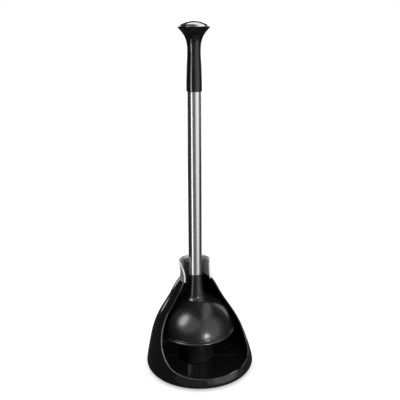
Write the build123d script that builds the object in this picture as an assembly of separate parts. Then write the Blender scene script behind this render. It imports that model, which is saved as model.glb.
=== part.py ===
from build123d import *
from math import acos, asin, cos, degrees, radians, sin
import os

# Toilet plunger standing in an open-fronted caddy.  Millimetres, +Z up.
# The origin is the centre of the caddy's base on the floor, and the open front faces -Y.

# ---------------------------------------------------------------- driving dimensions
# Caddy shell: at each height, half the width, the back's depth and how far back the centre is.
FOOT_HEIGHT = 1.0
SHELL_TOP = 149.0
SHELL_SECTIONS = [
    # height, half width, depth behind the centre, centre's Y
    (FOOT_HEIGHT, 90.3, 90.3, 0.0),
    (25.0, 87.0, 88.4, 1.5),
    (45.0, 81.7, 84.8, 5.2),
    (70.0, 72.9, 76.8, 10.4),
    (98.0, 57.3, 60.2, 14.8),
    (125.0, 41.5, 42.2, 17.3),
    (SHELL_TOP, 26.8, 26.8, 17.5),
]
SHELL_WALL = 2.6
SHELL_BASE_ROUND = 9.0
CAVITY_BASE_ROUND = 6.5
RIM_ROUND = 0.6

# Cut edge that opens the caddy's front: one curve in side view, as Y and height.
FRONT_LIP_HEIGHT = 20.4
CUT_SWEEP = [
    (-88.5, FRONT_LIP_HEIGHT), (-53.0, 27.6), (-27.0, 45.0),
    (-9.0, 68.0), (2.5, 92.5), (5.0, 116.0),
]
CUT_SHOULDER = [(5.0, 134.0), (7.0, 150.0), (10.8, 166.0), (22.5, 182.5)]
CUT_REACH = 130.0

# Neck collar, a C-shaped ring with a flared top.
NECK_Y = 17.5
COLLAR_TOP = 182.0
COLLAR_WAIST_HEIGHT = 160.0
COLLAR_FOOT_RADIUS = 26.8
COLLAR_WAIST_RADIUS = 25.5
COLLAR_RIM_RADIUS = 28.2
COLLAR_WALL = 2.8
COLLAR_EDGE_ROUND = 0.5
LONG_EDGE = 6.0

# Floor pan, pressed into the shell from below.
FLOOR_TOP = 4.0
PAN_STEP_HEIGHT = 2.5
PAN_RIM_RADIUS = 72.0
PAN_RADIUS = 69.5
PAN_FIT_GAP = 0.1
RIB_COUNT = 8
RIB_WIDTH = 1.8
RIB_HEIGHT = 0.8
RIB_END_RADIUS = 66.0
FOOT_COUNT = 4
FOOT_RADIUS = 7.0
FOOT_CIRCLE_RADIUS = 56.0
FOOT_SOCKET_DEPTH = 0.8
FOOT_EDGE_ROUND = 0.4

# Plunger, upright on the ribs, its axis a little behind the middle of the collar.
PLUNGER_Y = 18.0
FLANGE_FOOT = FLOOR_TOP + RIB_HEIGHT
FLANGE_RADIUS = 30.8
FLANGE_NECK_RADIUS = 29.0
FLANGE_WALL = 3.0
FLANGE_KNEE = 45.0
WEB_UNDERSIDE = 82.0
WEB_TOPSIDE = 87.0
LIP_BOTTOM = 56.0
LIP_RADIUS = 65.8
LIP_HEIGHT = 5.0
DOME_RADIUS = 62.0
DOME_RISE = 57.0
DOME_BASE = 60.5
DOME_WALL = 4.0
BELL_TOP = 121.8
BELL_SHOULDER = 114.0
BELL_NECK_HEIGHT = 119.0
BELL_NECK_RADIUS = 16.4
BELL_NECK_ROUND = 1.0
BELL_BORE_RADIUS = 8.0
BELL_CEILING = 112.0

ROD_RADIUS = 11.0
ROD_WALL = 1.0
ROD_BOTTOM = 158.2
ROD_TOP = 484.0
COUPLING_FOOT_RADIUS = 15.2
COUPLING_TOP_RADIUS = 11.5
COUPLING_WAIST = (12.3, 141.0)
COUPLING_CHAMFER = 0.6
COUPLING_LIFT = 0.3
SPIGOT_LENGTH = 10.0
LOWER_PLUG_LENGTH = 24.0
BOLT_REACH = 16.0
BOLT_HOLE_DEPTH = 18.0

GRIP_BOTTOM = 459.5
KNOB_RIM = 556.0
KNOB_RADIUS = 25.0
GRIP_OUTLINE = [
    # radius, height, from the foot up to the knob
    (12.3, 461.0), (12.35, 467.5), (12.0, 484.0), (11.2, 504.0),
    (10.55, 522.0), (11.85, 533.7), (16.85, 545.5),
]
GRIP_FOOT_RADIUS = 11.6
KNOB_EDGE_ROUND = 0.6
KNOB_EDGE_FALL = 1.4
SCREW_SEAT = 540.0
CAP_TOP = 564.5
CAP_RADIUS = 24.4
CAP_WALL = 1.2
CAP_EDGE = 1.0
CAP_SKIRT_RADIUS = 18.2
CAP_SKIRT_DEPTH = 4.0
STUD_RADIUS = 5.5
STUD_TOP = 532.0
UPPER_PLUG_BOTTOM = 460.0
STUD_HOLE_DEPTH = 22.0

BOLT_RADIUS = 3.0
BOLT_HEAD_RADIUS = 5.5
BOLT_HEAD_HEIGHT = 4.2
WASHER_RADIUS = 12.0
WASHER_THICKNESS = 1.5
GRIP_SCREW_RADIUS = 2.5
GRIP_SCREW_HEAD_RADIUS = 4.8
GRIP_SCREW_HEAD_HEIGHT = 3.2
GRIP_SCREW_REACH = 18.0
GRIP_SCREW_SLOT = (1.2, 1.4)
GRIP_WASHER_RADIUS = 6.0
GRIP_WASHER_THICKNESS = 1.0
FIT_GAP = 0.05
BORE_GAP = 0.2

# Cradle behind the rod, with its magnets and screws.
CRADLE_BOTTOM = 136.0
CRADLE_TOP = 177.0
CRADLE_HALF_WIDTH = 13.0
ROD_CLEARANCE = 0.4
COUPLING_CLEARANCE = 1.6
MAGNET_RADIUS = 4.0
MAGNET_LENGTH = 5.0
MAGNET_HEIGHTS = (156.0, 166.0)
COLLAR_SCREW_RADIUS = 1.5
COLLAR_SCREW_HEAD_RADIUS = 2.9
COLLAR_SCREW_HEAD_DEPTH = 1.2
COLLAR_SCREW_LENGTH = 8.0
COLLAR_SCREW_HEIGHTS = (142.0, 172.5)
COLLAR_SCREW_SINK = 0.8
CRADLE_RADIUS = 22.4
CRADLE_FRONT = 8.0
CRADLE_SKIN = 1.2
BOSS_RADIUS = 4.5
COLLAR_SCREW_STAND = 0.6
UPRIGHT = (Align.CENTER, Align.CENTER, Align.MIN)


# ---------------------------------------------------------------- shared shapes
def turned(*edges):
    """A solid of revolution about the plunger's axis, from a closed outline of radius and height."""
    outline = make_face(Curve() + list(edges))
    return Pos(0, PLUNGER_Y, 0) * revolve(Plane.XZ * outline, Axis.Z)


def upright_disc(radius, low, high, x=0.0, y=0.0):
    """A disc with its axis upright, between two heights."""
    return Pos(x, y, low) * Cylinder(radius, high - low, align=UPRIGHT)


def rod_shape(radius, low, high):
    """A round bar on the plunger's axis, between two heights."""
    return upright_disc(radius, low, high, 0, PLUNGER_Y)


def egg_section(height, half_width, back_depth, centre_y):
    """One level outline of the shell: half a circle in front, half an ellipse behind."""
    front = EllipticalCenterArc((0, 0), half_width, half_width, start_angle=180, arc_size=180)
    back = EllipticalCenterArc((0, 0), half_width, back_depth, start_angle=0, arc_size=180)
    return Pos(0, centre_y, height) * make_face(front + back)


def open_front():
    """Everything in front of the caddy's cut edge."""
    lip = Line((-CUT_REACH, FRONT_LIP_HEIGHT), CUT_SWEEP[0])
    sweep_up = Spline(*CUT_SWEEP, tangents=((1, 0), (0, 1)))
    post = Line(CUT_SWEEP[-1], CUT_SHOULDER[0])
    shoulder = Spline(*CUT_SHOULDER, tangents=((0, 1), (1, 1)))
    last_y, last_height = CUT_SHOULDER[-1]
    over = COLLAR_TOP + COLLAR_RIM_RADIUS
    above = Polyline(
        CUT_SHOULDER[-1],
        (last_y + over - last_height, over),
        (-CUT_REACH, over),
        (-CUT_REACH, FRONT_LIP_HEIGHT),
    )
    side_view = make_face(lip + sweep_up + post + shoulder + above)
    return extrude(Plane.YZ * side_view, CUT_REACH, both=True)


def soften_cut(solid, cut, radius):
    """Rounds the long edges that a cut has left on a solid."""
    def on_cut(edge):
        return all(cut.distance_to(Vertex(*(edge @ share))) < 0.001 for share in (0.1, 0.5, 0.9))

    long_edges = [edge for edge in solid.edges() if edge.length > LONG_EDGE and on_cut(edge)]
    return fillet(long_edges, radius)


# ---------------------------------------------------------------- caddy
def caddy_body():
    """The shell's outer form, rounded at its foot."""
    body = loft([egg_section(*row) for row in SHELL_SECTIONS])
    return fillet(body.edges().group_by(Axis.Z)[0], SHELL_BASE_ROUND)


def caddy_cavity():
    """The space inside the shell, one wall inside its outer form."""
    rows = [
        (height, side - SHELL_WALL, back - SHELL_WALL, centre_y)
        for height, side, back, centre_y in SHELL_SECTIONS
    ]
    foot = (FLOOR_TOP,) + rows[0][1:]
    head = (SHELL_TOP + 1,) + rows[-1][1:]
    space = loft([egg_section(*row) for row in [foot] + rows[1:-1] + [head]])
    return fillet(space.edges().group_by(Axis.Z)[0], CAVITY_BASE_ROUND)


def make_caddy_shell():
    """Open-fronted moulding, with a stepped hole in its floor for the pan."""
    front = open_front()
    shell = soften_cut(caddy_body() - caddy_cavity() - front, front, RIM_ROUND)
    shell -= upright_disc(PAN_RIM_RADIUS, 0, PAN_STEP_HEIGHT)
    shell -= upright_disc(PAN_RADIUS, 0, FLOOR_TOP + 1)
    return shell - screw_hole(COLLAR_SCREW_HEIGHTS[0])


def make_floor_pan():
    """Stepped disc with ribs that spread from under the plunger, and sockets for the feet."""
    pan = upright_disc(PAN_RIM_RADIUS - PAN_FIT_GAP, FOOT_HEIGHT, PAN_STEP_HEIGHT)
    pan += upright_disc(PAN_RADIUS - PAN_FIT_GAP, PAN_STEP_HEIGHT, FLOOR_TOP)
    spokes = Part()
    rib = Box(2 * PAN_RADIUS, RIB_WIDTH, RIB_HEIGHT, align=(Align.MIN, Align.CENTER, Align.MIN))
    for number in range(RIB_COUNT):
        turn = (number + 0.5) * 360 / RIB_COUNT
        spokes += Pos(0, PLUNGER_Y, FLOOR_TOP) * Rot(0, 0, turn) * rib
    pan += spokes & upright_disc(RIB_END_RADIUS, FLOOR_TOP, FLANGE_FOOT)
    for x, y in foot_places():
        pan -= upright_disc(FOOT_RADIUS + PAN_FIT_GAP, 0, FOOT_HEIGHT + FOOT_SOCKET_DEPTH, x, y)
    return pan


def foot_places():
    """Centres of the rubber feet, on a circle."""
    turns = [radians(45 + number * 360 / FOOT_COUNT) for number in range(FOOT_COUNT)]
    return [(FOOT_CIRCLE_RADIUS * cos(turn), FOOT_CIRCLE_RADIUS * sin(turn)) for turn in turns]


def make_rubber_feet():
    """Round pads, each with a softened lower edge."""
    feet = []
    for x, y in foot_places():
        pad = upright_disc(FOOT_RADIUS, 0, FOOT_HEIGHT + FOOT_SOCKET_DEPTH, x, y)
        feet.append(fillet(pad.edges().group_by(Axis.Z)[0], FOOT_EDGE_ROUND))
    return Compound(children=feet)


def collar_ring():
    """The collar as a full ring, before its front is cut away."""
    foot_inner = COLLAR_FOOT_RADIUS - COLLAR_WALL
    waist_inner = COLLAR_WAIST_RADIUS - COLLAR_WALL
    rim_inner = COLLAR_RIM_RADIUS - COLLAR_WALL
    rim_start = COLLAR_TOP - COLLAR_WALL / 2
    outer = Spline(
        (COLLAR_FOOT_RADIUS, SHELL_TOP),
        (COLLAR_WAIST_RADIUS, COLLAR_WAIST_HEIGHT),
        (COLLAR_RIM_RADIUS, rim_start),
    )
    lip = ThreePointArc(
        (COLLAR_RIM_RADIUS, rim_start),
        (COLLAR_RIM_RADIUS - COLLAR_WALL / 2, COLLAR_TOP),
        (rim_inner, rim_start),
    )
    inner = Spline((rim_inner, rim_start), (waist_inner, COLLAR_WAIST_HEIGHT), (foot_inner, SHELL_TOP))
    foot = Line((foot_inner, SHELL_TOP), (COLLAR_FOOT_RADIUS, SHELL_TOP))
    outline = make_face(outer + lip + inner + foot)
    return Pos(0, NECK_Y, 0) * revolve(Plane.XZ * outline, Axis.Z)


def wall_back(height):
    """Y of the outer face behind the rod, where a screw enters the collar or the shell below it."""
    if height > SHELL_TOP:
        return NECK_Y + COLLAR_WAIST_RADIUS + COLLAR_SCREW_STAND
    low_height, _, low_depth, low_centre = SHELL_SECTIONS[-2]
    top_height, _, top_depth, top_centre = SHELL_SECTIONS[-1]
    share = (height - low_height) / (top_height - low_height)
    return (1 - share) * (low_centre + low_depth) + share * (top_centre + top_depth)


def facing_forward(height, start_y, shape):
    """Turns a shape that stands on its end so that it points to the front, behind the rod."""
    return Pos(0, start_y, height) * Rot(90, 0, 0) * shape


def collar_screw(height):
    """One countersunk screw, driven forward from behind."""
    head = Cone(COLLAR_SCREW_HEAD_RADIUS, COLLAR_SCREW_RADIUS, COLLAR_SCREW_HEAD_DEPTH, align=UPRIGHT)
    shank = Cylinder(COLLAR_SCREW_RADIUS, COLLAR_SCREW_LENGTH, align=UPRIGHT)
    return facing_forward(height, wall_back(height) - COLLAR_SCREW_SINK, head + shank)


def screw_hole(height):
    """The screw's own space, and the way in for its head."""
    way_in = Cylinder(COLLAR_SCREW_HEAD_RADIUS + FIT_GAP, COLLAR_SCREW_SINK + SHELL_WALL, align=UPRIGHT)
    return collar_screw(height) + facing_forward(height, wall_back(height) + SHELL_WALL, way_in)


def make_collar():
    """C-shaped metal ring, open in front."""
    front = open_front()
    ring = soften_cut(collar_ring() - front, front, COLLAR_EDGE_ROUND)
    return ring - screw_hole(COLLAR_SCREW_HEIGHTS[1])


def make_collar_screws():
    """The two screws as one group."""
    return Compound(children=[collar_screw(height) for height in COLLAR_SCREW_HEIGHTS])


def magnet_space(height, length):
    """A round space for one magnet, open towards the collar."""
    front = PLUNGER_Y + ROD_RADIUS + ROD_CLEARANCE + CRADLE_SKIN
    return facing_forward(height, front + length, Cylinder(MAGNET_RADIUS + FIT_GAP, length, align=UPRIGHT))


def make_collar_cradle():
    """Rest for the rod: a block that fills the back of the collar, hollowed to the rod's shape."""
    height = CRADLE_TOP - CRADLE_BOTTOM
    block = Pos(0, NECK_Y, CRADLE_BOTTOM) * Box(
        2 * CRADLE_HALF_WIDTH, 2 * CRADLE_RADIUS, height, align=(Align.CENTER, Align.MIN, Align.MIN)
    )
    block &= upright_disc(CRADLE_RADIUS, CRADLE_BOTTOM, CRADLE_TOP, 0, NECK_Y)
    block -= Pos(0, NECK_Y - CRADLE_RADIUS, CRADLE_BOTTOM) * Box(
        4 * CRADLE_RADIUS, CRADLE_RADIUS + CRADLE_FRONT, height, align=(Align.CENTER, Align.MIN, Align.MIN)
    )
    bar = Cylinder(BOSS_RADIUS, NECK_Y + CRADLE_RADIUS - CRADLE_FRONT, align=UPRIGHT)
    boss = facing_forward(COLLAR_SCREW_HEIGHTS[0], NECK_Y + 2 * CRADLE_RADIUS, bar)
    cradle = block + (boss & caddy_cavity())
    cradle -= rod_shape(ROD_RADIUS + ROD_CLEARANCE, 0, KNOB_RIM)
    cradle -= rod_shape(COUPLING_TOP_RADIUS + COUPLING_CLEARANCE, 0, ROD_BOTTOM + 1)
    for height in MAGNET_HEIGHTS:
        cradle -= magnet_space(height, CRADLE_RADIUS)
    for height in COLLAR_SCREW_HEIGHTS:
        cradle -= screw_hole(height)
    return cradle


def make_collar_magnets():
    """Two short round magnets, one above the other."""
    front = PLUNGER_Y + ROD_RADIUS + ROD_CLEARANCE + CRADLE_SKIN
    slug = Cylinder(MAGNET_RADIUS, MAGNET_LENGTH, align=UPRIGHT)
    return Compound(
        children=[facing_forward(height, front + MAGNET_LENGTH, slug) for height in MAGNET_HEIGHTS]
    )


# ---------------------------------------------------------------- plunger
def dome_radius(height, wall=0.0):
    """Radius of the bell's dome at a height, on its outer face or one wall inside it."""
    rise = DOME_RISE - wall
    return (DOME_RADIUS - wall) * (1 - ((height - DOME_BASE) / rise) ** 2) ** 0.5


def dome_arc(wall, low, high):
    """Part of the dome's outline as an elliptical arc, from a low to a high point."""
    rise = DOME_RISE - wall
    start = degrees(asin((low - DOME_BASE) / rise))
    end = degrees(asin((high - DOME_BASE) / rise))
    centre = (0, DOME_BASE)
    return EllipticalCenterArc(centre, DOME_RADIUS - wall, rise, start_angle=start, arc_size=end - start)


def bell_outside():
    """Outline of the bell's outer face, from its bore over the dome and the lip to the dome's inside."""
    bore = BELL_BORE_RADIUS + FIT_GAP
    top = BELL_NECK_RADIUS - BELL_NECK_ROUND
    corner = BELL_NECK_ROUND * (1 - cos(radians(45)))
    shoulder = dome_radius(BELL_SHOULDER)
    lip_top = LIP_BOTTOM + LIP_HEIGHT
    lip_centre = LIP_RADIUS - LIP_HEIGHT / 2
    dome_end = DOME_BASE + LIP_HEIGHT * 0.3
    inner = DOME_RADIUS - DOME_WALL
    return [
        Polyline((bore, BELL_CEILING), (bore, BELL_TOP), (top, BELL_TOP)),
        ThreePointArc(
            (top, BELL_TOP),
            (BELL_NECK_RADIUS - corner, BELL_TOP - corner),
            (BELL_NECK_RADIUS, BELL_TOP - BELL_NECK_ROUND),
        ),
        Spline(
            (BELL_NECK_RADIUS, BELL_TOP - BELL_NECK_ROUND),
            (BELL_NECK_RADIUS + 0.6, BELL_NECK_HEIGHT),
            (shoulder, BELL_SHOULDER),
            tangents=((0, -1), (1, -0.42)),
        ),
        dome_arc(0, dome_end, BELL_SHOULDER),
        Line((dome_radius(dome_end), dome_end), (lip_centre, lip_top)),
        ThreePointArc(
            (lip_centre, lip_top),
            (LIP_RADIUS, lip_top - LIP_HEIGHT / 2),
            (lip_centre, LIP_BOTTOM),
        ),
        Polyline((lip_centre, LIP_BOTTOM), (inner + 1, LIP_BOTTOM), (inner, DOME_BASE)),
    ]


def make_rubber_bell():
    """Dome with a thick round lip, and a flat seat inside it for the washer."""
    bore = BELL_BORE_RADIUS + FIT_GAP
    hollow = dome_arc(DOME_WALL, DOME_BASE, BELL_CEILING)
    ceiling = Line((dome_radius(BELL_CEILING, DOME_WALL), BELL_CEILING), (bore, BELL_CEILING))
    return turned(*bell_outside(), hollow, ceiling)


def make_bell_flange():
    """Narrower sleeve that hangs from the inside of the dome and stands on the floor."""
    flange_inner = FLANGE_NECK_RADIUS - FLANGE_WALL
    foot_inner = FLANGE_RADIUS - FLANGE_WALL
    outside = Spline(
        (dome_radius(WEB_UNDERSIDE, DOME_WALL), WEB_UNDERSIDE),
        (FLANGE_NECK_RADIUS, FLANGE_KNEE),
        (FLANGE_RADIUS, FLANGE_FOOT),
        tangents=((-1, -0.6), (0.12, -1)),
    )
    foot = Line((FLANGE_RADIUS, FLANGE_FOOT), (foot_inner, FLANGE_FOOT))
    inside = Spline(
        (foot_inner, FLANGE_FOOT),
        (flange_inner, FLANGE_KNEE + 1),
        (dome_radius(WEB_TOPSIDE, DOME_WALL), WEB_TOPSIDE),
        tangents=((-0.12, 1), (1, 0.6)),
    )
    seam = dome_arc(DOME_WALL, WEB_UNDERSIDE, WEB_TOPSIDE)
    return turned(outside, foot, inside, seam)


def make_coupling():
    """Flared socket: a boss down into the bell, a spigot up into the rod, and a bore for the bolt."""
    bore = BOLT_RADIUS + BORE_GAP
    spigot = ROD_RADIUS - ROD_WALL - FIT_GAP
    spigot_top = ROD_BOTTOM + SPIGOT_LENGTH
    boss_bottom = BELL_CEILING + COUPLING_LIFT
    foot = (COUPLING_FOOT_RADIUS, BELL_TOP + COUPLING_CHAMFER)
    head = (COUPLING_TOP_RADIUS, ROD_BOTTOM)
    flare = Spline(head, COUPLING_WAIST, foot, tangents=((0, -1), (0.32, -1)))
    outline = Polyline(
        foot,
        (COUPLING_FOOT_RADIUS - COUPLING_CHAMFER, BELL_TOP),
        (BELL_BORE_RADIUS, BELL_TOP),
        (BELL_BORE_RADIUS, boss_bottom),
        (bore, boss_bottom),
        (bore, spigot_top),
        (spigot, spigot_top),
        (spigot, ROD_BOTTOM),
        head,
    )
    return turned(flare, outline)


def make_bell_washer():
    """Washer that spreads the bolt's pull on the rubber."""
    seat = BELL_CEILING - WASHER_THICKNESS
    washer = rod_shape(WASHER_RADIUS, seat, BELL_CEILING)
    return washer - rod_shape(BOLT_RADIUS + BORE_GAP, seat, BELL_CEILING)


def make_bell_bolt():
    """Long bolt with a hexagon head inside the bell, its point in the plug above."""
    seat = BELL_CEILING - WASHER_THICKNESS
    hexagon = RegularPolygon(BOLT_HEAD_RADIUS, 6)
    head = Pos(0, PLUNGER_Y, seat - BOLT_HEAD_HEIGHT) * extrude(hexagon, BOLT_HEAD_HEIGHT)
    return head + rod_shape(BOLT_RADIUS, seat, ROD_BOTTOM + SPIGOT_LENGTH + BOLT_REACH)


def make_lower_plug():
    """Round plug pressed into the rod's lower end, drilled for the bolt."""
    bottom = ROD_BOTTOM + SPIGOT_LENGTH
    plug = rod_shape(ROD_RADIUS - ROD_WALL - FIT_GAP, bottom, bottom + LOWER_PLUG_LENGTH)
    return plug - rod_shape(BOLT_RADIUS + FIT_GAP, bottom, bottom + BOLT_HOLE_DEPTH)


def make_rod_tube():
    """Straight thin-walled tube."""
    tube = rod_shape(ROD_RADIUS, ROD_BOTTOM, ROD_TOP)
    return tube - rod_shape(ROD_RADIUS - ROD_WALL, ROD_BOTTOM, ROD_TOP)


def make_upper_plug():
    """Plug in the rod's upper end, with a drilled stud that rises inside the grip."""
    plug = rod_shape(ROD_RADIUS - ROD_WALL - FIT_GAP, UPPER_PLUG_BOTTOM, ROD_TOP)
    plug += rod_shape(STUD_RADIUS, ROD_TOP, STUD_TOP)
    return plug - rod_shape(GRIP_SCREW_RADIUS + FIT_GAP, STUD_TOP - STUD_HOLE_DEPTH, STUD_TOP)


def make_grip():
    """Long grip that narrows to a neck and opens into a trumpet-shaped knob."""
    foot_radius, foot_height = GRIP_OUTLINE[0]
    shoulder = (KNOB_RADIUS - KNOB_EDGE_ROUND, KNOB_RIM - KNOB_EDGE_FALL)
    edge = (KNOB_RADIUS - KNOB_EDGE_ROUND, KNOB_RIM)
    side = Spline(*GRIP_OUTLINE, shoulder, tangents=((0, 1), (0.82, 1)))
    rim = ThreePointArc(shoulder, (KNOB_RADIUS, KNOB_RIM - KNOB_EDGE_ROUND), edge)
    foot = ThreePointArc(
        (GRIP_FOOT_RADIUS, GRIP_BOTTOM),
        (foot_radius - 0.15, GRIP_BOTTOM + 0.4),
        (foot_radius, foot_height),
    )
    socket = ROD_RADIUS + FIT_GAP
    bore = STUD_RADIUS + FIT_GAP
    screw_bore = GRIP_SCREW_RADIUS + BORE_GAP
    well = GRIP_WASHER_RADIUS + BORE_GAP
    pocket = CAP_SKIRT_RADIUS + BORE_GAP
    floor = KNOB_RIM - CAP_SKIRT_DEPTH - BORE_GAP
    core = Polyline(
        edge, (pocket, KNOB_RIM), (pocket, floor), (well, floor), (well, SCREW_SEAT),
        (screw_bore, SCREW_SEAT), (screw_bore, STUD_TOP), (bore, STUD_TOP), (bore, ROD_TOP),
        (socket, ROD_TOP), (socket, GRIP_BOTTOM), (GRIP_FOOT_RADIUS, GRIP_BOTTOM),
    )
    return turned(side, rim, foot, core)


def make_grip_washer():
    """Washer at the bottom of the knob's well."""
    top = SCREW_SEAT + GRIP_WASHER_THICKNESS
    washer = rod_shape(GRIP_WASHER_RADIUS, SCREW_SEAT, top)
    return washer - rod_shape(GRIP_SCREW_RADIUS + BORE_GAP, SCREW_SEAT, top)


def make_grip_screw():
    """Screw from the knob down into the stud, with a slotted head."""
    seat = SCREW_SEAT + GRIP_WASHER_THICKNESS
    top = seat + GRIP_SCREW_HEAD_HEIGHT
    slot_width, slot_depth = GRIP_SCREW_SLOT
    screw = rod_shape(GRIP_SCREW_HEAD_RADIUS, seat, top)
    screw += rod_shape(GRIP_SCREW_RADIUS, STUD_TOP - GRIP_SCREW_REACH, seat)
    downward = (Align.CENTER, Align.CENTER, Align.MAX)
    slot = Box(2 * GRIP_SCREW_HEAD_RADIUS, slot_width, slot_depth, align=downward)
    return screw - Pos(0, PLUNGER_Y, top) * slot


def make_knob_cap():
    """Domed metal cap with a skirt that presses into the knob."""
    edge_top = KNOB_RIM + CAP_EDGE
    rise = CAP_TOP - edge_top
    curve = (CAP_RADIUS**2 + rise**2) / (2 * rise)
    centre_height = CAP_TOP - curve
    skirt_inner = CAP_SKIRT_RADIUS - CAP_WALL
    dome_start = degrees(acos(CAP_RADIUS / curve))
    hollow_start = degrees(acos(skirt_inner / (curve - CAP_WALL)))
    hollow_edge = centre_height + ((curve - CAP_WALL) ** 2 - skirt_inner**2) ** 0.5
    side = Line((CAP_RADIUS, KNOB_RIM), (CAP_RADIUS, edge_top))
    dome = CenterArc((0, centre_height), curve, dome_start, 90 - dome_start)
    axis = Line((0, CAP_TOP), (0, CAP_TOP - CAP_WALL))
    hollow = CenterArc((0, centre_height), curve - CAP_WALL, hollow_start, 90 - hollow_start)
    skirt = Polyline(
        (skirt_inner, hollow_edge),
        (skirt_inner, KNOB_RIM - CAP_SKIRT_DEPTH),
        (CAP_SKIRT_RADIUS, KNOB_RIM - CAP_SKIRT_DEPTH),
        (CAP_SKIRT_RADIUS, KNOB_RIM),
        (CAP_RADIUS, KNOB_RIM),
    )
    return turned(side, dome, axis, hollow, skirt)


# ---------------------------------------------------------------- one file for each piece
MAKERS = {
    "caddy_shell": make_caddy_shell,
    "floor_pan": make_floor_pan,
    "rubber_feet": make_rubber_feet,
    "collar": make_collar,
    "collar_cradle": make_collar_cradle,
    "collar_magnets": make_collar_magnets,
    "collar_screws": make_collar_screws,
    "rubber_bell": make_rubber_bell,
    "bell_flange": make_bell_flange,
    "bell_washer": make_bell_washer,
    "bell_bolt": make_bell_bolt,
    "coupling": make_coupling,
    "lower_plug": make_lower_plug,
    "rod_tube": make_rod_tube,
    "upper_plug": make_upper_plug,
    "grip": make_grip,
    "grip_washer": make_grip_washer,
    "grip_screw": make_grip_screw,
    "knob_cap": make_knob_cap,
}

os.makedirs("parts", exist_ok=True)
for name, make in MAKERS.items():
    export_step(make(), f"parts/{name}.step")
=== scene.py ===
import math

import bmesh
import bpy
from mathutils import Matrix, Vector


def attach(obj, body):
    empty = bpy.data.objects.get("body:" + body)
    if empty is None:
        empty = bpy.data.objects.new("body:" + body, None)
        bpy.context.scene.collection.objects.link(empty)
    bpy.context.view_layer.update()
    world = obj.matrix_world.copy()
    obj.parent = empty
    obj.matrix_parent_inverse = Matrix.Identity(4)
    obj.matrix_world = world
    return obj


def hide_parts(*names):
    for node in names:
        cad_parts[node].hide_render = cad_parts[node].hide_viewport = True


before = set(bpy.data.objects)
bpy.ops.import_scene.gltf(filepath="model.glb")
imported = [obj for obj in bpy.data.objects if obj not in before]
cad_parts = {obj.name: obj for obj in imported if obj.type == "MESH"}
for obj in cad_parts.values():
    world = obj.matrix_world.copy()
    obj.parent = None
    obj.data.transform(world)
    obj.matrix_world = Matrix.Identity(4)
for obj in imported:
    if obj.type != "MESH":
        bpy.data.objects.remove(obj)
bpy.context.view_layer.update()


# ---- Floor pan ----------------------------------------------------------------------
# The caddy's floor, an injection-moulded disc with ribs that lift the cup clear of drips.
# It is pressed into the shell from below and is the same glossy black as the shell.

class Signal:
    """An output in a material's nodes. Sums on it add Math nodes, and node() adds any other."""

    def __init__(self, tree, socket=None):
        self.tree = tree
        self.socket = socket

    def node(self, kind, settings=None, inputs=None, output=0):
        made = self.tree.nodes.new(kind)
        for name, value in (settings or {}).items():
            if name == "stops":
                self.set_stops(made.color_ramp, value)
            else:
                setattr(made, name, value)
        for name, value in (inputs or {}).items():
            if isinstance(value, Signal):
                self.tree.links.new(value.socket, made.inputs[name])
            else:
                made.inputs[name].default_value = value
        return Signal(self.tree, made.outputs[output])

    def set_stops(self, ramp, stops):
        while len(ramp.elements) < len(stops):
            ramp.elements.new(1.0)
        for element, (place, shade) in zip(ramp.elements, stops):
            element.position = place
            element.color = (shade, shade, shade, 1.0)

    def maths(self, operation, *values):
        return self.node("ShaderNodeMath", {"operation": operation}, dict(enumerate(values)))

    def __add__(self, other):
        return self.maths("ADD", self, other)

    def __radd__(self, other):
        return self.maths("ADD", other, self)

    def __sub__(self, other):
        return self.maths("SUBTRACT", self, other)

    def __rsub__(self, other):
        return self.maths("SUBTRACT", other, self)

    def __mul__(self, other):
        return self.maths("MULTIPLY", self, other)

    def __rmul__(self, other):
        return self.maths("MULTIPLY", other, self)

    def into(self, socket):
        self.tree.links.new(self.socket, socket)


def new_material(name, fixed):
    """A material with its fixed values on the shader's own sockets, and where its pattern starts."""
    made = bpy.data.materials.new(name)
    made.use_nodes = True
    shader = made.node_tree.nodes["Principled BSDF"]
    for socket, value in fixed.items():
        shader.inputs[socket].default_value = value
    start = Signal(made.node_tree)
    place = start.node("ShaderNodeTexCoord", output="Object")
    return made, shader, place


def noise(place, scale, detail=2.0, stretch=(1.0, 1.0, 1.0)):
    """Soft random signal from 0 to 1, with scale in lumps for each metre."""
    spread = place.node("ShaderNodeMapping", {}, {"Vector": place, "Scale": stretch})
    return place.node("ShaderNodeTexNoise", {}, {"Vector": spread, "Scale": scale, "Detail": detail})


def ramp(signal, *stops):
    """Remaps a signal by stops of place and shade."""
    return signal.node("ShaderNodeValToRGB", {"stops": stops}, {"Fac": signal})


# The Mix node has a float, a vector and a colour version of its sockets, known apart by number.
COLOUR_A = 6
COLOUR_B = 7
COLOUR_RESULT = 2


def tint(mask, first, second):
    """A colour that goes from the first to the second as the mask rises."""
    colours = {"Factor": mask, COLOUR_A: first, COLOUR_B: second}
    return mask.node("ShaderNodeMix", {"data_type": "RGBA"}, colours, COLOUR_RESULT)


def dent(height, depth):
    """A normal that follows a height signal, with depth in metres."""
    return height.node("ShaderNodeBump", {}, {"Height": height, "Strength": 1.0, "Distance": depth})


def gloss_black():
    """High gloss moulded ABS: faint orange peel, a little haze and finger marks in the gloss."""
    made, shader, place = new_material("gloss_black", {"IOR": 1.5, "Specular IOR Level": 0.5})
    haze = noise(place, 14.0, 3.0)
    marks = ramp(noise(place, 45.0, 4.0), (0.52, 0.0), (0.68, 1.0))
    tint(haze, (0.0045, 0.0045, 0.0048, 1.0), (0.006, 0.006, 0.0064, 1.0)).into(shader.inputs["Base Color"])
    (0.06 + haze * 0.04 + marks * 0.04).into(shader.inputs["Roughness"])
    dent(noise(place, 160.0, 1.0), 0.000012).into(shader.inputs["Normal"])
    return made


def wear(node, material):
    """Gives a CAD node its finish."""
    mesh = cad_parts[node].data
    mesh.materials.clear()
    mesh.materials.append(material)


shell_black = gloss_black()
wear("floor_pan", shell_black)


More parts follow.
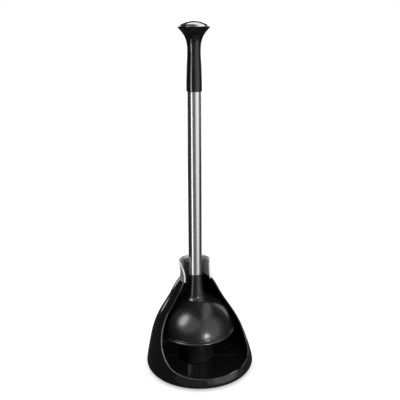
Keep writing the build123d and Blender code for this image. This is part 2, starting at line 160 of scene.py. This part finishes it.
# ---- Rubber feet --------------------------------------------------------------------
# Four round pads of matt rubber that keep the caddy from sliding. They are glued into
# sockets in the floor pan.

def matt_rubber():
    """Dull black rubber with fine grain and grey dust rubbed in."""
    made, shader, place = new_material("foot_rubber", {"IOR": 1.5})
    dust = ramp(noise(place, 260.0, 3.0), (0.45, 0.0), (0.75, 1.0))
    tint(dust, (0.02, 0.02, 0.02, 1.0), (0.06, 0.06, 0.058, 1.0)).into(shader.inputs["Base Color"])
    (0.75 + dust * 0.15).into(shader.inputs["Roughness"])
    dent(noise(place, 1800.0), 0.00008).into(shader.inputs["Normal"])
    return made


wear("rubber_feet", matt_rubber())


# ---- Caddy shell --------------------------------------------------------------------
# One open-fronted moulding in high gloss black ABS, with its cut edge slightly rounded. The
# floor pan closes it from below.

wear("caddy_shell", shell_black)


# ---- Collar -------------------------------------------------------------------------
# A C-shaped neck ring of satin-plated metal, brushed round its axis. It stands on the shell's
# neck and is screwed to the cradle from behind.

def satin_metal():
    """Satin plate, brushed round the ring, a little cloudy."""
    made, shader, place = new_material("satin_metal", {"Metallic": 0.88, "IOR": 1.5})
    lines = noise(place, 900.0, 2.0, (0.05, 0.05, 1.0))
    cloud = noise(place, 60.0, 3.0)
    tint(cloud, (0.50, 0.50, 0.50, 1.0), (0.60, 0.60, 0.60, 1.0)).into(shader.inputs["Base Color"])
    (0.24 + lines * 0.12 + cloud * 0.04).into(shader.inputs["Roughness"])
    dent(lines, 0.00002).into(shader.inputs["Normal"])
    return made


wear("collar", satin_metal())


# ---- Collar cradle ------------------------------------------------------------------
# Black moulded rest behind the rod, which keeps it upright in the collar. It is screwed to
# the collar and the shell from behind, and holds two magnets.

def black_moulding():
    """Semi-gloss black moulding with a fine spark texture."""
    made, shader, place = new_material("black_moulding", {"IOR": 1.5})
    grain = noise(place, 1400.0, 2.0)
    tint(grain, (0.006, 0.006, 0.006, 1.0), (0.010, 0.010, 0.010, 1.0)).into(shader.inputs["Base Color"])
    (0.22 + grain * 0.1).into(shader.inputs["Roughness"])
    dent(grain, 0.00002).into(shader.inputs["Normal"])
    return made


wear("collar_cradle", black_moulding())


# ---- Collar magnets -----------------------------------------------------------------
# Two nickel-plated magnets that hold the steel rod in the collar. They are glued into
# pockets in the cradle.

def nickel_plate():
    """Bright plate with a faint mottle."""
    made, shader, place = new_material("magnet_metal", {"Metallic": 1.0})
    mottle = noise(place, 500.0, 3.0)
    tint(mottle, (0.48, 0.47, 0.45, 1.0), (0.58, 0.57, 0.55, 1.0)).into(shader.inputs["Base Color"])
    (0.18 + mottle * 0.12).into(shader.inputs["Roughness"])
    return made


wear("collar_magnets", nickel_plate())


# ---- Collar screws ------------------------------------------------------------------
# Two small countersunk steel screws with cross recesses, driven forward from behind through
# the shell and the collar into the cradle.

CREASE = math.radians(35)
MERGE_GAP = 0.000001
SCREW_SEGMENTS = 48
SCREW_HEAD_RADIUS = 0.00275

# The middle of each head's face, as y and z.
SCREW_FACES = ((0.0479, 0.142), (0.0428, 0.1725))

# The corners of a recess, in steps of CROSS_UNIT from its middle.
CROSS_UNIT = 0.00037
CROSS = (
    (1, 4), (1, 1), (4, 1), (4, -1), (1, -1), (1, -4),
    (-1, -4), (-1, -1), (-4, -1), (-4, 1), (-1, 1), (-1, 4),
)

# Rings down the recess and down the head and shank: scale from the ring before, and height.
RECESS_RINGS = ((0.9, -0.0003), (0.6, -0.0009))
SHANK_RINGS = ((1.055, -0.0001), (0.53, -0.0012), (1.0, -0.0074), (0.6, -0.008))


def new_piece(name, shape, material):
    """Ends a bmesh as a smooth-shaded object whose origin is the frame's."""
    bmesh.ops.remove_doubles(shape, verts=shape.verts, dist=MERGE_GAP)
    bmesh.ops.recalc_face_normals(shape, faces=shape.faces)
    for face in shape.faces:
        face.smooth = True
    mesh = bpy.data.meshes.new(name)
    shape.to_mesh(mesh)
    shape.free()
    mesh.set_sharp_from_angle(angle=CREASE)
    mesh.materials.append(material)
    piece = bpy.data.objects.new(name, mesh)
    bpy.context.scene.collection.objects.link(piece)
    return piece


def draw_out(shape, edges, rings):
    """Extrudes a ring of edges through more rings, and gives the last one's edges."""
    for scale, height in rings:
        grown = bmesh.ops.extrude_edge_only(shape, edges=edges)["geom"]
        corners = [item for item in grown if isinstance(item, bmesh.types.BMVert)]
        edges = [item for item in grown if isinstance(item, bmesh.types.BMEdge)]
        bmesh.ops.scale(shape, verts=corners, vec=(scale, scale, 1.0))
        for corner in corners:
            corner.co.z = height
    return edges


def add_screw(shape):
    """A screw that hangs from its head's face at zero height, with its recess."""
    cross = [shape.verts.new((x * CROSS_UNIT, y * CROSS_UNIT, 0.0)) for x, y in CROSS]
    recess = [shape.edges.new((cross[i - 1], cross[i])) for i in range(len(cross))]
    rim = bmesh.ops.create_circle(shape, segments=SCREW_SEGMENTS, radius=SCREW_HEAD_RADIUS)["verts"]
    round_edges = list({edge for corner in rim for edge in corner.link_edges})
    bmesh.ops.bridge_loops(shape, edges=recess + round_edges)
    floor_edges = draw_out(shape, recess, RECESS_RINGS)
    point_edges = draw_out(shape, round_edges, SHANK_RINGS)
    bmesh.ops.edgeloop_fill(shape, edges=floor_edges)
    bmesh.ops.edgeloop_fill(shape, edges=point_edges)


def collar_screws():
    """Both screws, with their heads towards the back."""
    shape = bmesh.new()
    backward = Matrix.Rotation(-math.pi / 2, 3, "X")
    for y, z in SCREW_FACES:
        before = set(shape.verts)
        add_screw(shape)
        fresh = [corner for corner in shape.verts if corner not in before]
        bmesh.ops.rotate(shape, verts=fresh, cent=(0, 0, 0), matrix=backward)
        bmesh.ops.translate(shape, verts=fresh, vec=(0, y, z))
    return shape


def bright_steel():
    """Zinc plate: pale, slightly blue, with fine spangle and rubbed spots."""
    made, shader, place = new_material("bright_steel", {"Metallic": 1.0})
    spangle = noise(place, 700.0, 3.0)
    rub = ramp(noise(place, 220.0, 4.0), (0.5, 0.0), (0.7, 1.0))
    tint(spangle, (0.52, 0.53, 0.54, 1.0), (0.66, 0.67, 0.68, 1.0)).into(shader.inputs["Base Color"])
    (0.26 + spangle * 0.12 - rub * 0.08).into(shader.inputs["Roughness"])
    dent(spangle, 0.00001).into(shader.inputs["Normal"])
    return made


plated = bright_steel()
screws = new_piece("screws", collar_screws(), plated)
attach(screws, "caddy")
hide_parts("collar_screws")


# ---- Bell ---------------------------------------------------------------------------
# The cup and the flange inside it, one moulding in semi-gloss black rubber. Its thick lip
# shows the line where the mould's halves met, under a thin raised band. The bell is stretched
# over the coupling's boss and clamped by the washer.

PLUNGER_Y = 0.018
TURN_STEPS = 192

# Radii and heights in millimetres.
DOME_BASE = (0, 60.5)
DOME_OUTSIDE = (62.0, 57.0)
DOME_INSIDE = (58.0, 53.0)
LIP_MIDDLE = (63.3, 58.5)
LIP_ROUND = (2.5, 2.5)


def bend(start, first, second, end, steps=12):
    """Points of radius and height along a cubic curve, without its start."""
    points = []
    for number in range(1, steps + 1):
        t = number / steps
        weights = ((1 - t) ** 3, 3 * t * (1 - t) ** 2, 3 * t * t * (1 - t), t**3)
        corners = (start, first, second, end)
        points.append(tuple(sum(w * c[axis] for w, c in zip(weights, corners)) for axis in (0, 1)))
    return points


def oval(centre, halves, start, end, steps):
    """Points of radius and height along part of an ellipse, by angle from level in degrees."""
    points = []
    for number in range(steps + 1):
        turn = math.radians(start + (end - start) * number / steps)
        points.append((centre[0] + halves[0] * math.cos(turn), centre[1] + halves[1] * math.sin(turn)))
    return points


def turned(outline):
    """A closed outline, spun round the plunger's axis."""
    shape = bmesh.new()
    ring = [shape.verts.new((r / 1000, PLUNGER_Y, z / 1000)) for r, z in outline]
    edges = [shape.edges.new((ring[i - 1], ring[i])) for i in range(len(ring))]
    bmesh.ops.spin(
        shape, geom=ring + edges, cent=(0, PLUNGER_Y, 0), axis=(0, 0, 1),
        angle=2 * math.pi, steps=TURN_STEPS, use_merge=True,
    )
    return shape


def dome_outline():
    """The outside, from the bore over the neck and the dome to the raised band above the lip."""
    outline = [(8.05, 112.0), (8.05, 121.8), (15.3, 121.8), (15.9, 121.65), (16.3, 121.2), (16.4, 120.6)]
    outline += bend((16.4, 120.6), (16.4, 119.2), (18.3, 115.3), (21.39, 114.0))
    outline += oval(DOME_BASE, DOME_OUTSIDE, 69.8, 4.4, 48)[1:]
    outline += [(62.15, 64.75), (62.22, 64.5), (62.25, 63.1), (62.15, 62.8), (61.8, 62.6), (61.85, 61.9)]
    return outline


def lip_outline():
    """The lip, with its witness line half way down, and the turn into the hollow."""
    outline = bend((61.85, 61.9), (61.95, 61.3), (62.4, 61.0), (63.3, 61.0), 5)
    outline += oval(LIP_MIDDLE, LIP_ROUND, 84, 5, 12)
    outline += [(65.86, 58.6), (65.86, 58.4)]
    outline += oval(LIP_MIDDLE, LIP_ROUND, -5, -90, 12)
    outline += [(59.4, 56.0), (58.9, 56.3), (58.0, 60.5)]
    return outline


def flange_outline():
    """Up the inside of the dome, down and up the flange, then on to the ceiling."""
    outline = oval(DOME_BASE, DOME_INSIDE, 0, 23.93, 14)[1:]
    outline += bend((53.01, 82.0), (41.0, 74.8), (29.5, 61.0), (29.0, 45.0), 20)
    outline += bend((29.0, 45.0), (28.7, 32.0), (29.2, 18.0), (30.5, 7.6), 10)
    outline += [(30.8, 6.4), (30.7, 5.2), (30.2, 4.8), (28.4, 4.8), (27.85, 5.2)]
    outline += bend((27.85, 5.2), (26.5, 18.0), (25.8, 34.0), (26.0, 46.0), 10)
    outline += bend((26.0, 46.0), (26.3, 64.0), (38.0, 79.0), (50.23, 87.0), 20)
    outline += oval(DOME_BASE, DOME_INSIDE, 30, 76.34, 24)[1:]
    return outline


def bell_rubber():
    """Semi-gloss rubber with a faint grey bloom, fine grain and scuffs on its lip."""
    made, shader, place = new_material("bell_rubber", {"IOR": 1.52})
    bloom = noise(place, 30.0, 4.0)
    grain = noise(place, 1100.0, 2.0)
    scuffs = ramp(noise(place, 420.0, 3.0, (1.0, 1.0, 0.25)), (0.62, 0.0), (0.74, 1.0))
    tint(bloom, (0.0035, 0.0035, 0.0035, 1.0), (0.007, 0.007, 0.007, 1.0)).into(shader.inputs["Base Color"])
    (0.20 + bloom * 0.10 + scuffs * 0.08).into(shader.inputs["Roughness"])
    dent(grain + scuffs * 0.5, 0.000014).into(shader.inputs["Normal"])
    return made


rubber = bell_rubber()
bell = new_piece("bell", turned(dome_outline() + lip_outline() + flange_outline()), rubber)
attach(bell, "plunger")
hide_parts("rubber_bell", "bell_flange")


# ---- Washer and bolt ----------------------------------------------------------------
# Zinc-plated washer under the bell's ceiling, and a long hexagon bolt up through the
# coupling into the plug in the rod.

wear("bell_washer", plated)
wear("bell_bolt", plated)


# ---- Coupling -----------------------------------------------------------------------
# Black moulded socket between the bell and the rod, smoother than the cradle's moulding. The
# bolt runs up through it and draws the rod and the bell together.

def smooth_moulding():
    """Semi-gloss black, with flow marks running up it."""
    made, shader, place = new_material("coupling_black", {"IOR": 1.5})
    flow = noise(place, 120.0, 3.0, (1.0, 1.0, 0.2))
    tint(flow, (0.004, 0.004, 0.004, 1.0), (0.008, 0.008, 0.008, 1.0)).into(shader.inputs["Base Color"])
    (0.12 + flow * 0.08).into(shader.inputs["Roughness"])
    dent(flow, 0.00002).into(shader.inputs["Normal"])
    return made


wear("coupling", smooth_moulding())


# ---- Plugs --------------------------------------------------------------------------
# Turned aluminium, pressed into the ends of the rod: one plug holds the bolt, the other
# carries the stud inside the grip.

def turned_metal():
    """Aluminium with fine tool marks round it."""
    made, shader, place = new_material("plug_metal", {"Metallic": 1.0})
    marks = noise(place, 2200.0, 1.0, (0.02, 0.02, 1.0))
    tint(marks, (0.55, 0.55, 0.57, 1.0), (0.66, 0.66, 0.68, 1.0)).into(shader.inputs["Base Color"])
    (0.24 + marks * 0.12).into(shader.inputs["Roughness"])
    dent(marks, 0.00002).into(shader.inputs["Normal"])
    return made


turned_plug = turned_metal()
wear("lower_plug", turned_plug)
wear("upper_plug", turned_plug)


# ---- Rod ----------------------------------------------------------------------------
# Straight thin-walled stainless tube, satin finished along its length. The coupling and the
# grip take its ends.

def drawn_steel():
    """Satin stainless with long fine lines, a few darker, and faint hand marks."""
    made, shader, place = new_material("satin_steel", {"Metallic": 1.0})
    lines = noise(place, 1500.0, 2.0, (1.0, 1.0, 0.01))
    hands = noise(place, 35.0, 4.0)
    tint(lines, (0.50, 0.50, 0.50, 1.0), (0.60, 0.60, 0.60, 1.0)).into(shader.inputs["Base Color"])
    (0.16 + lines * 0.06 + hands * 0.03).into(shader.inputs["Roughness"])
    dent(lines, 0.000002).into(shader.inputs["Normal"])
    return made


wear("rod_tube", drawn_steel())


# ---- Grip ---------------------------------------------------------------------------
# One gloss black moulding that narrows to a neck and opens into the knob. A screw from above,
# hidden by the cap, holds it on the rod's stud.

def grip_black():
    """Gloss moulding with finger marks and hairline scratches round the handhold."""
    made, shader, place = new_material("grip_black", {"IOR": 1.5})
    marks = ramp(noise(place, 70.0, 4.0), (0.48, 0.0), (0.68, 1.0))
    hairs = ramp(noise(place, 900.0, 2.0, (0.15, 0.15, 1.0)), (0.66, 0.0), (0.72, 1.0))
    tint(marks, (0.004, 0.004, 0.0045, 1.0), (0.008, 0.008, 0.0085, 1.0)).into(shader.inputs["Base Color"])
    (0.09 + marks * 0.07 + hairs * 0.05).into(shader.inputs["Roughness"])
    dent(hairs, 0.000003).into(shader.inputs["Normal"])
    return made


wear("grip", grip_black())
wear("grip_washer", plated)
wear("grip_screw", plated)


# ---- Knob cap -----------------------------------------------------------------------
# Stainless dome, pressed and polished. It snaps into the top of the knob and hides the
# grip's screw.

def polished_steel():
    """Mirror polish with faint round wiping marks."""
    made, shader, place = new_material("polished_steel", {"Metallic": 1.0})
    wipes = noise(place, 500.0, 3.0, (1.0, 1.0, 3.0))
    tint(wipes, (0.68, 0.68, 0.68, 1.0), (0.76, 0.76, 0.76, 1.0)).into(shader.inputs["Base Color"])
    (0.07 + wipes * 0.06).into(shader.inputs["Roughness"])
    dent(wipes, 0.000003).into(shader.inputs["Normal"])
    return made


wear("knob_cap", polished_steel())


# ---- Stage --------------------------------------------------------------------------
# A plain white floor under an even sky. Soft boxes and strips show only as reflections, and
# some of them reach single pieces only, as if behind flags.

FLOOR_HALF = 30.0
LIGHTS_ROUND = Vector((0, 0, 0.2))
LIGHTS_REACH = 4.0


def make_floor():
    shape = bmesh.new()
    bmesh.ops.create_grid(shape, x_segments=1, y_segments=1, size=FLOOR_HALF)
    mesh = bpy.data.meshes.new("floor")
    shape.to_mesh(mesh)
    shape.free()
    floor = bpy.data.objects.new("floor", mesh)
    bpy.context.scene.collection.objects.link(floor)
    made, shader, _ = new_material("floor_white", {
        "Base Color": (0.9, 0.9, 0.9, 1.0),
        "Roughness": 1.0,
        "Specular IOR Level": 0.0,
        "Emission Color": (1.0, 1.0, 1.0, 1.0),
        "Emission Strength": 0.45,
    })
    mesh.materials.append(made)
    floor.visible_glossy = False
    floor.visible_shadow = False


make_floor()


def make_sky(glow, dark):
    """White to the camera, and dark grey in reflections."""
    world = bpy.data.worlds.new("studio")
    world.use_nodes = True
    bpy.context.scene.world = world
    tree = world.node_tree
    sky = tree.nodes["Background"]
    sky.inputs["Color"].default_value = (1.0, 1.0, 1.0, 1.0)
    seen = Signal(tree).node("ShaderNodeLightPath", output="Is Camera Ray")
    (dark + seen * (glow - dark)).into(sky.inputs["Strength"])


make_sky(1.0, 0.04)


def outward(turn, rise):
    """A direction by its turn from the front, in degrees to the right, and its rise."""
    turn, rise = math.radians(turn), math.radians(rise)
    return Vector((math.sin(turn) * math.cos(rise), -math.cos(turn) * math.cos(rise), math.sin(rise)))


def hang(name, light, place, target):
    """A lamp of this light, at a place and turned towards a target."""
    lamp = bpy.data.objects.new(name, light)
    lamp.location = place
    lamp.rotation_euler = (target - place).to_track_quat("-Z", "Y").to_euler()
    bpy.context.scene.collection.objects.link(lamp)
    return lamp


def soft_box(name, turn, rise, width, height, glow):
    """An oval of light that only shows in reflections, with its place and size in degrees."""
    light = bpy.data.lights.new(name, "AREA")
    light.shape = "ELLIPSE"
    light.size = 2 * LIGHTS_REACH * math.tan(math.radians(width / 2))
    light.size_y = 2 * LIGHTS_REACH * math.tan(math.radians(height / 2))
    light.energy = glow * math.pi * light.size * light.size_y
    lamp = hang(name, light, LIGHTS_ROUND + outward(turn, rise) * LIGHTS_REACH, LIGHTS_ROUND)
    lamp.visible_camera = False
    lamp.visible_diffuse = False
    return lamp


def make_sun(name, strength, turn, rise):
    """Even light from one side that doesn't show in reflections."""
    sun = bpy.data.lights.new(name, "SUN")
    sun.energy = strength
    lamp = hang(name, sun, outward(turn, rise), Vector((0, 0, 0)))
    lamp.visible_glossy = False
    return lamp


def make_overhead(strength, spread):
    """The sky's own soft light, as one very wide sun, with its spread in degrees."""
    make_sun("sky", strength, 0, 90).data.angle = math.radians(spread)


def make_fill(name, strength, turn, rise):
    """A shadowless sun for faces that the other lights can't reach."""
    lamp = make_sun(name, strength, turn, rise)
    lamp.data.use_shadow = False
    return lamp


def flagged(lamp, *pieces):
    """Keeps a lamp off everything but these pieces, as flags on stands would."""
    lit = bpy.data.collections.new(lamp.name + "_lit")
    for piece in pieces:
        lit.objects.link(piece)
    lamp.light_linking.receiver_collection = lit


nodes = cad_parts
shell, pan = nodes["caddy_shell"], nodes["floor_pan"]
ring, cradle = nodes["collar"], nodes["collar_cradle"]
socket, rod = nodes["coupling"], nodes["rod_tube"]
grip, cap = nodes["grip"], nodes["knob_cap"]

make_overhead(2.6, 130)
soft_box("key_left", -74, 42, 22, 38, 8.0)
soft_box("key_halo", -50, 36, 70, 60, 0.8)
soft_box("panel_wide", 28, 12, 76, 90, 0.45)
soft_box("panel_core", 30, 8, 52, 66, 0.5)
soft_box("fill_front", 5, -5, 150, 110, 0.13)
soft_box("top_right", 70, 60, 60, 24, 1.2)
soft_box("back_right", 118, 12, 18, 44, 1.0)
soft_box("back_left", -168, 3, 18, 24, 1.6)
soft_box("back_top", 145, 54, 40, 18, 0.8)
soft_box("behind", 160, 14, 44, 20, 0.9)
flagged(soft_box("behind_high", 164, 37, 24, 16, 3.0), shell, ring)
flagged(soft_box("edge_light", -34, 44, 50, 28, 5.0), shell)
flagged(soft_box("strip_left", -66, -12, 18, 44, 2.0), rod, grip, socket, ring)
flagged(soft_box("strip_grip", -66, -3, 18, 26, 4.2), grip)
flagged(soft_box("low_front", 11, -8, 10, 10, 40.0), bell)
flagged(soft_box("cap_glow", 160, 9, 150, 32, 0.95), cap)
flagged(make_fill("fill_inside", 3.0, 35, 18), shell, pan, socket, cradle, bell)
flagged(make_fill("fill_collar_left", 6.0, -140, 20), ring)
flagged(make_fill("fill_collar_right", 6.0, 95, 20), ring)

VIEW_TURN = -22.3
VIEW_RISE = 16.03
VIEW_ROLL = math.radians(0.22)
VIEW_PLACE = (-0.3545, -0.8684, 0.5594)
VIEW_LENS = 55.17


def make_camera():
    lens = bpy.data.cameras.new("camera")
    lens.sensor_width = 36.0
    lens.lens = VIEW_LENS
    camera = bpy.data.objects.new("camera", lens)
    heading = -outward(VIEW_TURN, VIEW_RISE)
    roll = Matrix.Rotation(VIEW_ROLL, 4, heading).to_3x3()
    camera.location = VIEW_PLACE
    camera.rotation_euler = (roll @ heading.to_track_quat("-Z", "Y").to_matrix()).to_euler()
    bpy.context.scene.collection.objects.link(camera)
    bpy.context.scene.camera = camera
    bpy.context.scene.view_settings.view_transform = "Standard"


make_camera()
